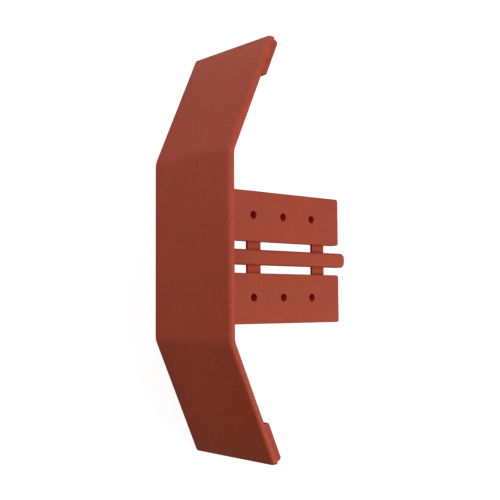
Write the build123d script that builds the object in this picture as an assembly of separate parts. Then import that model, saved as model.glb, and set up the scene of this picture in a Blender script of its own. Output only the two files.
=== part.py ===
from build123d import *
import math
import os

# Dry verge eaves starter: one moulded piece, in millimetres.
# X runs from the cover plate's outer face out along the fixing bracket.
# Y runs along the plate from one wing tip to the other.
# Z runs up from the plate's standing edge to the edge that carries the bracket.

# Cover plate: a flat middle and two wings that lean back on the bracket side
FLAT_LENGTH = 71.4         # flat middle between the two fold lines, on the outer face
WING_LENGTH = 50.9         # each wing from fold line to tip, on the outer face
WING_TILT = 24.2           # degrees that each wing leans back
PLATE_WIDTH = 47.5         # from the standing edge up to the bracket edge
PLATE_WALL = 2.9
FOLD_RADIUS = 8.0          # bend between middle and wing, on the outer face
TIP_RADIUS = 1.3           # rounded corners of the wing tips
OUTER_RIM_RADIUS = 1.2     # round along the rim of the outer face
INNER_RIM_RADIUS = 0.5     # round along the rim of the inner face

# Fixing bracket: two nail strips with a bar between them
BRACKET_OFFSET = -4.15     # bar's centre line from the middle of the plate, along Y
STRIP_SETBACK = 0.4        # strips' upper face below the plate's bracket edge
STRIP_WALL = 3.9
STRIP_HEIGHT = 19.0
STRIP_REACH = 58.1         # strips' free end from the plate's outer face
STRIP_CORNER_RADIUS = 1.0
STRIP_RIM_RADIUS = 0.4
SLOT_GAP = 3.05            # clear slot between the bar and each strip
BAR_HEIGHT = 5.85
BAR_DEPTH = 4.5
BAR_REACH = 61.8           # bar's free end from the plate's outer face
BAR_END_RADIUS = 2.0
BAR_RIM_RADIUS = 1.2

# Thin links that join the bar to the strips
LINK_WIDTH = 6.4
LINK_WALL = 1.2
LINK_FIRST = 13.7          # first link's centre from the plate's outer face
LINK_PITCH = 33.9
LINK_COUNT = 2

# Nail holes, in a row along each strip
HOLE_DIAMETER = 3.1
HOLE_FIRST = 12.3          # first hole's centre from the plate's outer face
HOLE_PITCH = 15.2
HOLE_COUNT = 3
HOLE_OFFSET = 0.35         # both rows sit this far along Y from the strips' centre lines

# Lugs on the wings' inner faces, close to the tips and the bracket edge
LUG_LENGTH = 15.8
LUG_RISE = 2.3             # above the wing's inner face
LUG_DEPTH = 3.6            # along Z
LUG_SETBACK = 0.6          # lug's upper face below the plate's bracket edge
LUG_TIP_GAP = 1.2          # from the tip's inner corner to the lug, along the wing
LUG_CORNER_RADIUS = 1.0
LUG_ROOT = 0.6             # how far the lug runs into the wall, to make one piece

# Places that follow from the sizes above
TILT = math.radians(WING_TILT)
FOLD_Y = FLAT_LENGTH / 2
INNER_FOLD_Y = FOLD_Y - PLATE_WALL * math.tan(TILT / 2)
TIP_X = WING_LENGTH * math.sin(TILT)
TIP_Y = FOLD_Y + WING_LENGTH * math.cos(TILT)
INNER_TIP_X = TIP_X + PLATE_WALL / math.cos(TILT)
STRIP_Y = BAR_HEIGHT / 2 + SLOT_GAP + STRIP_HEIGHT / 2
STRIP_MID_Z = PLATE_WIDTH - STRIP_SETBACK - STRIP_WALL / 2
ROOT_X = PLATE_WALL / 2    # strips and bar start inside the plate's wall


def steps(first, pitch, count):
    """Evenly spaced places along X."""
    return [first + pitch * step for step in range(count)]


def rim_edges(body, side):
    """Edges around the plate's outer face (side -1) or inner face (side 1)."""
    faces = [face for face in body.faces() if side * face.normal_at().X > 0.5]
    edges = [edge for face in faces for edge in face.edges()]
    return [edge for edge in edges if sum(edge.is_same(other) for other in edges) == 1]


def cover_plate():
    """The cranked plate, with square-cut wing ends and rounded rims."""
    upper = [
        (0, FOLD_Y),
        (TIP_X, TIP_Y),
        (INNER_TIP_X, TIP_Y),
        (PLATE_WALL, INNER_FOLD_Y),
    ]
    lower = [(x, -y) for x, y in reversed(upper)]
    outline = make_face(Polyline(*upper, *lower, close=True))
    outer_folds = [point for point in outline.vertices() if abs(point.X) < 0.001]
    outline = fillet(outer_folds, FOLD_RADIUS)
    inner_folds = [point for point in outline.vertices() if abs(point.X - PLATE_WALL) < 0.001]
    outline = fillet(inner_folds, FOLD_RADIUS - PLATE_WALL)
    plate = extrude(outline, PLATE_WIDTH)
    plate = fillet(plate.edges().filter_by(Axis.X), TIP_RADIUS)
    plate = fillet(rim_edges(plate, -1), OUTER_RIM_RADIUS)
    return fillet(rim_edges(plate, 1), INNER_RIM_RADIUS)


def flat_bar(reach, height, depth, corner_radius, rim_radius):
    """A flat bar along X from inside the plate's wall, with a rounded free end and rims."""
    length = reach - ROOT_X
    outline = Pos(ROOT_X + length / 2, 0) * Rectangle(length, height)
    outline = fillet(outline.vertices().group_by(Axis.X)[-1], corner_radius)
    bar = Pos(0, 0, -depth / 2) * extrude(outline, depth)
    rims = bar.faces().sort_by(Axis.Z)
    return fillet(rims[0].edges() + rims[-1].edges(), rim_radius)


def nail_strip():
    """One strip with its row of round nail holes, about the strip's centre line."""
    strip = flat_bar(STRIP_REACH, STRIP_HEIGHT, STRIP_WALL, STRIP_CORNER_RADIUS, STRIP_RIM_RADIUS)
    for x in steps(HOLE_FIRST, HOLE_PITCH, HOLE_COUNT):
        strip -= Pos(x, HOLE_OFFSET) * Cylinder(HOLE_DIAMETER / 2, 2 * STRIP_WALL)
    return strip


def fixing_bracket():
    """Both strips, the bar between them and the thin links, about the bar's centre line."""
    bracket = flat_bar(BAR_REACH, BAR_HEIGHT, BAR_DEPTH, BAR_END_RADIUS, BAR_RIM_RADIUS)
    link_span = BAR_HEIGHT + 2 * SLOT_GAP + 2 * STRIP_RIM_RADIUS
    for x in steps(LINK_FIRST, LINK_PITCH, LINK_COUNT):
        bracket += Pos(x, 0) * Box(LINK_WIDTH, link_span, LINK_WALL)
    for side in (-1, 1):
        bracket += Pos(0, side * STRIP_Y) * nail_strip()
    return bracket


def on_wing(along, rise):
    """A place on the upper wing: along it from the tip's inner corner, and above its inner face."""
    x = INNER_TIP_X - along * math.sin(TILT) + rise * math.cos(TILT)
    y = TIP_Y - along * math.cos(TILT) - rise * math.sin(TILT)
    return (x, y)


def upper_lug():
    """The small block on the upper wing's inner face."""
    start = LUG_TIP_GAP
    end = LUG_TIP_GAP + LUG_LENGTH
    corners = [
        on_wing(start, -LUG_ROOT),
        on_wing(start, LUG_RISE),
        on_wing(end, LUG_RISE),
        on_wing(end, -LUG_ROOT),
    ]
    outline = make_face(Polyline(*corners, close=True))
    free = [point for point in outline.vertices() if math.dist((point.X, point.Y), corners[1]) < 0.001]
    outline = fillet(free, LUG_CORNER_RADIUS)
    free = [point for point in outline.vertices() if math.dist((point.X, point.Y), corners[2]) < 0.001]
    outline = fillet(free, LUG_CORNER_RADIUS)
    return Pos(0, 0, PLATE_WIDTH - LUG_SETBACK - LUG_DEPTH) * extrude(outline, LUG_DEPTH)


def eaves_starter():
    """The whole moulding, standing on its plate edge, with the origin at the middle of its footprint."""
    lug = upper_lug()
    body = cover_plate() + lug + mirror(lug, about=Plane.XZ)
    body += Pos(0, BRACKET_OFFSET, STRIP_MID_Z) * fixing_bracket()
    return Pos(-BAR_REACH / 2, 0, 0) * body


os.makedirs("parts", exist_ok=True)
starter = eaves_starter()
export_step(starter, "parts/eaves_starter.step")
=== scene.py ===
"""A terracotta plastic eaves starter for a dry verge, standing on its plate edge on a pale studio floor.

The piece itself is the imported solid. This script gives it its moulded-plastic finish, and sets the floor,
the lights and the camera. Lengths are in metres, in the part's own frame. The upper wing is the one
towards +Y, because the photograph shows +Y upwards.
"""

import math
from collections import namedtuple

import bpy
from mathutils import Matrix, Vector

# The photograph's viewpoint
CAMERA_EYE = Vector((-0.23256, -0.02220, 0.29203))
CAMERA_TARGET = Vector((-0.01952, -0.00149, 0.04600))
CAMERA_ROLL = math.radians(-0.350)
CAMERA_LENS_MM = 62.78
CAMERA_NEAR = 0.01
SENSOR_MM = 36.0
IMAGE_UP = Vector((0, 1, 0))

# Places on the part that the finish follows
PLATE_WIDTH = 0.0475                 # along Z, from the standing edge to the bracket edge
PLATE_INSIDE = (-0.0281, -0.0279)    # along X, from just inside the plate's wall to just off its inner face
BRACKET_EDGE = (0.0474, 0.0475)      # along Z, from the bar's face to the plate's bracket edge
BAR_FACE = (0.0472, 0.0474)          # along Z, from above the strips to the bar's face
BAR_CENTRE = -0.00415                # along Y
BAR_SIDES = (0.0029, 0.0034)         # from the bar's centre line to just past its sides

# Colours of the plastic in linear light, tuned to the photograph under the lights below
# several of these are painted light and shade, not the plastic's own colour
TERRACOTTA = (0.354, 0.0620, 0.0353, 1.0)           # bracket and inner faces
BOUNCE_LIT_TERRACOTTA = (0.369, 0.0615, 0.0326, 1.0)     # lower wing's outer face by the standing edge: painted shade, paled by painted bounce light from the floor
LOWER_SHADE_TERRACOTTA = (0.315, 0.0455, 0.0164, 1.0)    # the same by the bracket edge: painted shade
UPPER_SHEEN_TERRACOTTA = (0.354, 0.0715, 0.0460, 1.0)     # upper wing's outer face: painted sheen, paler than the painted shade below
UPPER_TIP_SHEEN_TERRACOTTA = (0.376, 0.0845, 0.0560, 1.0)     # upper wing's tip: painted sheen
LOWER_TIP_SHADE_TERRACOTTA = (0.290, 0.0535, 0.0255, 1.0)      # lower wing's tip: painted shade
RUBBED_AND_LIT_TERRACOTTA = (0.455, 0.0765, 0.0430, 1.0)    # worn edges, and painted highlight on the bracket edge, the rims and the bar's end
RECESS_SHADE_TERRACOTTA = (0.320, 0.0100, 0.0040, 1.0)      # painted shade in holes and creases

# How the colours change over the part, painted light and shade among them
SHEEN_REACH = 0.08                    # along Y from the middle to where the outer face has changed fully, from painted shade below to painted sheen above
UPPER_TIP_RUN = (0.066, 0.080)       # along Y, into the upper tip's painted sheen
LOWER_TIP_RUN = (-0.080, -0.066)     # along Y, out of the lower tip's painted shade
BAR_ROOT_RUN = (-0.025, -0.013)      # along X, over which the painted shade at the bar's root ends
BAR_ROOT_SHARE = 0.11                # share by which painted shade darkens the root
CLOUD_SIZE = 0.012                   # soft drifts of the pigment through the moulding
CLOUD_SWING = 0.04                   # share by which they darken and lighten the plastic
CLOUD_DETAIL = 3
SPECKLE_SIZE = 0.00045               # pigment grains
SPECKLE_SWING = 0.07
SPECKLE_DETAIL = 1
NOISE_SPAN = (0.3, 0.7)              # the stretch of the noise's values that is spread over a swing
RECESS_REACH = 0.004                 # how near a facing wall must be for painted shade to deepen the colour
RECESS_OPENNESS = (0.25, 0.90)       # share of open directions, from deep in a hole to an open face

# Wear from handling with painted highlight, both full on the bracket edge
EDGE_WIDTH = 0.0011                  # how far in from an edge it is rubbed
EDGE_TURN = (0.80, 0.99)             # cosine of the normal's turn, from an edge to an open face
EDGE_RUB = 0.4                       # wear of the ordinary edges
RIM_LEAN = (0.35, 0.75)              # size of the normal's Z, from an outer face to its rounded rim
RIM_SIDE = (-0.12, -0.02)            # the normal's X, from a rounded rim to a flat edge
# share of wear and painted highlight on the rounded rims
RIM_RUB_AND_HIGHLIGHT = 0.7
BAR_WEAR_RUN = (-0.005, 0.031)       # along X, from unworn to the bar's free end, with painted highlight growing towards it
# share of wear and painted highlight at the bar's free end
BAR_RUB_AND_HIGHLIGHT = 0.5
PATCH_SIZE = 0.0012
PATCH_DETAIL = 2
PATCH_SPAN = (0.4, 0.6)              # values of the noise, from least to full wear
LEAST_WEAR = 0.35                    # share of the wear that is left between patches
MASK_SAMPLES = 8                     # rays for the edge and recess masks

# Surface of the plastic
OUTER_NORMAL = (-0.45, -0.10)        # the normal's X, from an outer face to the fixing side
GLOSS_LEVEL = 0.06
SATIN_ROUGHNESS = 0.60               # fixing side
GRAIN_ROUGHNESS = 0.68               # outer faces
ROUGHNESS_DRIFT = 0.05
DRIFT_DETAIL = 2
GRAIN_SIZE = 0.00080                 # moulded texture
GRAIN_DEPTH = 0.00018
GRAIN_DETAIL = 2
SATIN_GRAIN = 0.25                   # strength of the texture on the fixing side
FULL_GRAIN = 1.0                     # the same on the outer faces

# Studio floor and surroundings: shown white or nearly so, with less light sent to the part
FLOOR_SIZE = 8.0
FLOOR_BOUNCE = (0.5, 0.5, 0.5, 1.0)
FLOOR_SHADE = (0.25, 0.25, 0.25, 1.0)
FLOOR_GLOW = (0.87, 0.87, 0.87, 1.0)
WHITE = (1.0, 1.0, 1.0, 1.0)
WORLD_LIGHT = 0.02
WORLD_SHOWN = 1.0

# Studio lights: soft boxes, aimed at the middle of the part
SoftBox = namedtuple("SoftBox", "direction distance width height power")
LIGHT_AIM = Vector((0, 0, 0.025))
LIGHTS = {
    "right": SoftBox(direction=(0.62, -0.42, 0.66), distance=0.38, width=0.31, height=0.31, power=1.22),
    "upper": SoftBox(direction=(-0.10, 0.75, 0.65), distance=0.45, width=0.31, height=0.31, power=0.59),
    "front": SoftBox(direction=(-0.62, 0.15, 0.77), distance=0.60, width=0.31, height=0.31, power=1.51),
    "low": SoftBox(direction=(-0.80, 0.55, 0.0), distance=0.42, width=0.40, height=0.044, power=0.44),
}


def add(tree, kind, inputs, **settings):
    """A shader node with its settings; each input is joined to another node's output or set to a value."""
    node = tree.nodes.new(kind)
    for name, value in settings.items():
        setattr(node, name, value)
    for name, value in inputs.items():
        if isinstance(value, bpy.types.NodeSocket):
            tree.links.new(value, node.inputs[name])
        else:
            node.inputs[name].default_value = value
    return node


def split(tree, vector):
    """A vector's X, Y and Z, by name."""
    return add(tree, "ShaderNodeSeparateXYZ", {0: vector}).outputs


def noise(tree, point, size, detail):
    """Smooth noise about 0.5, with features of the given size."""
    inputs = {"Vector": point, "Scale": 1 / size, "Detail": detail}
    return add(tree, "ShaderNodeTexNoise", inputs).outputs["Fac"]


def ranged(tree, value, low, high, first, last):
    """The value's run from low to high, mapped to first to last and held there beyond."""
    ends = {"Value": value, "From Min": low, "From Max": high, "To Min": first, "To Max": last}
    return add(tree, "ShaderNodeMapRange", ends).outputs[0]


def combined(tree, operation, first, second):
    """Two values joined by one operation of the Math node."""
    return add(tree, "ShaderNodeMath", {0: first, 1: second}, operation=operation).outputs[0]


def mixed(tree, factor, first, second):
    """Two colours, mixed by a factor from 0 to 1."""
    node = add(tree, "ShaderNodeMix", {"Factor": factor}, data_type="RGBA")
    sockets = [socket for socket in node.inputs if socket.type == "RGBA"]
    for socket, value in zip(sockets, (first, second)):
        if isinstance(value, bpy.types.NodeSocket):
            tree.links.new(value, socket)
        else:
            socket.default_value = value
    return next(socket for socket in node.outputs if socket.type == "RGBA")


def make_camera():
    """A camera at the photograph's viewpoint, turned so that the part's Y axis points up the image."""
    forward = (CAMERA_TARGET - CAMERA_EYE).normalized()
    level = forward.cross(IMAGE_UP).normalized()
    upright = level.cross(forward)
    right = level * math.cos(CAMERA_ROLL) + upright * math.sin(CAMERA_ROLL)
    up = upright * math.cos(CAMERA_ROLL) - level * math.sin(CAMERA_ROLL)
    turn = Matrix((right, up, -forward)).transposed()
    data = bpy.data.cameras.new("camera")
    data.lens = CAMERA_LENS_MM
    data.sensor_width = SENSOR_MM
    data.clip_start = CAMERA_NEAR
    camera = bpy.data.objects.new("camera", data)
    camera.matrix_world = Matrix.Translation(CAMERA_EYE) @ turn.to_4x4()
    bpy.context.scene.collection.objects.link(camera)
    bpy.context.scene.camera = camera


def seen_rays(tree):
    """1 for rays from the camera and for mirror-like and see-through rays, and 0 for the others."""
    path = add(tree, "ShaderNodeLightPath", {}).outputs
    seen = path["Is Camera Ray"]
    for name in ("Is Glossy Ray", "Is Transmission Ray"):
        seen = combined(tree, "MAXIMUM", seen, path[name])
    return seen


def floor_material():
    """Matt pale floor that shows nearly white where it is lit and keeps the object's soft shadow."""
    material = bpy.data.materials.new("floor")
    material.use_nodes = True
    tree = material.node_tree
    tree.nodes.clear()
    bounce = add(tree, "ShaderNodeBsdfDiffuse", {"Color": FLOOR_BOUNCE}).outputs[0]
    shade = add(tree, "ShaderNodeBsdfDiffuse", {"Color": FLOOR_SHADE}).outputs[0]
    glow = add(tree, "ShaderNodeEmission", {"Color": FLOOR_GLOW}).outputs[0]
    shown = add(tree, "ShaderNodeAddShader", {0: glow, 1: shade}).outputs[0]
    mix = add(tree, "ShaderNodeMixShader", {0: seen_rays(tree), 1: bounce, 2: shown})
    add(tree, "ShaderNodeOutputMaterial", {"Surface": mix.outputs[0]})
    return material


def make_floor():
    """A wide flat floor under the standing edge."""
    half = FLOOR_SIZE / 2
    corners = [(-half, -half, 0), (half, -half, 0), (half, half, 0), (-half, half, 0)]
    mesh = bpy.data.meshes.new("floor")
    mesh.from_pydata(corners, [], [(0, 1, 2, 3)])
    mesh.materials.append(floor_material())
    floor = bpy.data.objects.new("floor", mesh)
    bpy.context.scene.collection.objects.link(floor)


def make_world():
    """A little even light from all round, with a white background behind the floor."""
    world = bpy.data.worlds.new("studio")
    world.use_nodes = True
    tree = world.node_tree
    tree.nodes.clear()
    light = add(tree, "ShaderNodeBackground", {"Color": WHITE, "Strength": WORLD_LIGHT}).outputs[0]
    shown = add(tree, "ShaderNodeBackground", {"Color": WHITE, "Strength": WORLD_SHOWN}).outputs[0]
    mix = add(tree, "ShaderNodeMixShader", {0: seen_rays(tree), 1: light, 2: shown})
    add(tree, "ShaderNodeOutputWorld", {"Surface": mix.outputs[0]})
    bpy.context.scene.world = world


def add_light(name, box):
    """A soft box that faces the middle of the part."""
    direction = Vector(box.direction).normalized()
    data = bpy.data.lights.new(name, "AREA")
    data.shape = "RECTANGLE"
    data.size = box.width
    data.size_y = box.height
    data.energy = box.power
    light = bpy.data.objects.new(name, data)
    light.location = LIGHT_AIM + direction * box.distance
    light.rotation_euler = direction.to_track_quat("Z", "Y").to_euler()
    bpy.context.scene.collection.objects.link(light)


def outer_face(tree, normal):
    """1 on the faces that show on the roof, which carry the moulded grain, and 0 on the fixing side."""
    return ranged(tree, split(tree, normal)["X"], *OUTER_NORMAL, 1.0, 0.0)


def turned_edges(tree):
    """1 along the edges, where the normal turns within a short way, and 0 on open faces."""
    normal = add(tree, "ShaderNodeNewGeometry", {}).outputs["Normal"]
    turned = add(tree, "ShaderNodeBevel", {"Radius": EDGE_WIDTH}, samples=MASK_SAMPLES).outputs[0]
    facing = add(tree, "ShaderNodeVectorMath", {0: normal, 1: turned}, operation="DOT_PRODUCT")
    return ranged(tree, facing.outputs["Value"], *EDGE_TURN, 1.0, 0.0)


def rounded_rims(tree, normal):
    """1 on the rounds that run along the outer faces' long rims, and 0 on the faces and flat edges."""
    lean = split(tree, normal)
    upward = combined(tree, "ABSOLUTE", lean["Z"], 0.0)
    leaning = ranged(tree, upward, *RIM_LEAN, 0.0, 1.0)
    outward = ranged(tree, lean["X"], *RIM_SIDE, 1.0, 0.0)
    return combined(tree, "MULTIPLY", leaning, outward)


def recess_shade(tree):
    """Painted shade: 1 deep in the holes, less in slots and creases, and 0 on open faces."""
    inputs = {"Distance": RECESS_REACH}
    openness = add(tree, "ShaderNodeAmbientOcclusion", inputs, samples=MASK_SAMPLES).outputs["AO"]
    return ranged(tree, openness, *RECESS_OPENNESS, 1.0, 0.0)


def wear_and_highlight(tree, point, normal):
    """Patchy rubbing, with painted highlight on the bracket edge, the rims and the bar's end: most on the
    proud bracket edge, less on the bar's end, the rims and other edges.
    """
    place = split(tree, point)
    most = ranged(tree, place["Z"], *BRACKET_EDGE, 0.0, 1.0)
    on_bar = ranged(tree, place["Z"], *BAR_FACE, 0.0, 1.0)
    bar_end = combined(tree, "MULTIPLY", on_bar, ranged(tree, place["X"], *BAR_WEAR_RUN, 0.0, BAR_RUB_AND_HIGHLIGHT))
    edges = ranged(tree, turned_edges(tree), 0.0, 1.0, 0.0, EDGE_RUB)
    rims = ranged(tree, rounded_rims(tree, normal), 0.0, 1.0, 0.0, RIM_RUB_AND_HIGHLIGHT)
    for share in (bar_end, edges, rims):
        most = combined(tree, "MAXIMUM", most, share)
    patches = ranged(tree, noise(tree, point, PATCH_SIZE, PATCH_DETAIL), *PATCH_SPAN, LEAST_WEAR, 1.0)
    return combined(tree, "MULTIPLY", most, patches)


def bar_root_shade(tree, point):
    """Painted shade along the bar: a tone a little under 1 where it leaves the plate, and 1 elsewhere."""
    place = split(tree, point)
    aside = combined(tree, "ABSOLUTE", combined(tree, "SUBTRACT", place["Y"], BAR_CENTRE), 0.0)
    on_bar = ranged(tree, aside, *BAR_SIDES, 1.0, 0.0)
    off_plate = ranged(tree, place["X"], *PLATE_INSIDE, 0.0, 1.0)
    near_plate = ranged(tree, place["X"], *BAR_ROOT_RUN, BAR_ROOT_SHARE, 0.0)
    share = combined(tree, "MULTIPLY", on_bar, combined(tree, "MULTIPLY", off_plate, near_plate))
    return combined(tree, "SUBTRACT", 1.0, share)


def varied(tree, point, size, detail, swing):
    """A tone about 1 that swings with smooth noise."""
    return ranged(tree, noise(tree, point, size, detail), *NOISE_SPAN, 1 - swing, 1 + swing)


def outer_painted_light(tree, point):
    """The outer faces' colour as painted light, changing along and across the plate: painted shade on the
    lower wing and its tip, painted floor bounce by the standing edge, painted sheen on the upper wing and
    its tip.
    """
    place = split(tree, point)
    # painted floor bounce, strongest at the standing edge and gone at the bracket edge
    rise = ranged(tree, place["Z"], 0.0, PLATE_WIDTH, 0.0, 1.0)
    # painted shade on the lower side gives way to painted sheen on the upper side
    sheen_share = ranged(tree, place["Y"], -SHEEN_REACH, SHEEN_REACH, 0.0, 1.0)
    upper_tip = ranged(tree, place["Y"], *UPPER_TIP_RUN, 0.0, 1.0)
    lower_tip = ranged(tree, place["Y"], *LOWER_TIP_RUN, 1.0, 0.0)
    lower_wing = mixed(tree, rise, BOUNCE_LIT_TERRACOTTA, LOWER_SHADE_TERRACOTTA)
    colour = mixed(tree, sheen_share, lower_wing, UPPER_SHEEN_TERRACOTTA)
    colour = mixed(tree, upper_tip, colour, UPPER_TIP_SHEEN_TERRACOTTA)
    return mixed(tree, lower_tip, colour, LOWER_TIP_SHADE_TERRACOTTA)


def pigment(tree, point, outer, worn_and_lit):
    """The plastic's colour: the outer faces' painted light, paler where rubbed and by painted highlight,
    painted shade in holes and creases and at the bar's root, with soft clouds and fine speckle.
    """
    colour = mixed(tree, outer, TERRACOTTA, outer_painted_light(tree, point))
    colour = mixed(tree, worn_and_lit, colour, RUBBED_AND_LIT_TERRACOTTA)
    colour = mixed(tree, recess_shade(tree), colour, RECESS_SHADE_TERRACOTTA)
    clouds = varied(tree, point, CLOUD_SIZE, CLOUD_DETAIL, CLOUD_SWING)
    speckle = varied(tree, point, SPECKLE_SIZE, SPECKLE_DETAIL, SPECKLE_SWING)
    tone = combined(tree, "MULTIPLY", clouds, speckle)
    tone = combined(tree, "MULTIPLY", tone, bar_root_shade(tree, point))
    return add(tree, "ShaderNodeVectorMath", {0: colour, "Scale": tone}, operation="SCALE").outputs[0]


def roughness(tree, point, outer):
    """Satin on the fixing side and duller on the outer faces, with a slow drift."""
    finish = ranged(tree, outer, 0.0, 1.0, SATIN_ROUGHNESS, GRAIN_ROUGHNESS)
    drift = noise(tree, point, CLOUD_SIZE, DRIFT_DETAIL)
    drift = ranged(tree, drift, *NOISE_SPAN, -ROUGHNESS_DRIFT, ROUGHNESS_DRIFT)
    return combined(tree, "ADD", finish, drift)


def moulded_grain(tree, point, outer):
    """The bump of the fine moulded texture."""
    inputs = {
        "Strength": ranged(tree, outer, 0.0, 1.0, SATIN_GRAIN, FULL_GRAIN),
        "Distance": GRAIN_DEPTH,
        "Height": noise(tree, point, GRAIN_SIZE, GRAIN_DETAIL),
    }
    return add(tree, "ShaderNodeBump", inputs).outputs[0]


def terracotta_plastic():
    """Through-coloured plastic: satin on the bracket, with a fine moulded grain on the outer faces."""
    material = bpy.data.materials.new("terracotta_plastic")
    material.use_nodes = True
    tree = material.node_tree
    place = add(tree, "ShaderNodeTexCoord", {}).outputs
    point = place["Object"]
    outer = outer_face(tree, place["Normal"])
    worn_and_lit = wear_and_highlight(tree, point, place["Normal"])
    shader = tree.nodes["Principled BSDF"].inputs
    shader["Specular IOR Level"].default_value = GLOSS_LEVEL
    tree.links.new(pigment(tree, point, outer, worn_and_lit), shader["Base Color"])
    tree.links.new(roughness(tree, point, outer), shader["Roughness"])
    tree.links.new(moulded_grain(tree, point, outer), shader["Normal"])
    return material


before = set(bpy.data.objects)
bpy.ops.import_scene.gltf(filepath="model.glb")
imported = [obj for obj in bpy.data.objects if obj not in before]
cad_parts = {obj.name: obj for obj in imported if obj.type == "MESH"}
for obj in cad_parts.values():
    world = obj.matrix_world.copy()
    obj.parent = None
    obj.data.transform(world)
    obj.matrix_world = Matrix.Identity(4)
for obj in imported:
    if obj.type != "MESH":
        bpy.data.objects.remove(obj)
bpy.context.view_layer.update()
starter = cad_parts["eaves_starter"]
starter.material_slots[0].material = terracotta_plastic()
make_camera()
make_floor()
make_world()
for name, box in LIGHTS.items():
    add_light(name, box)
bpy.context.scene.view_settings.view_transform = "Standard"
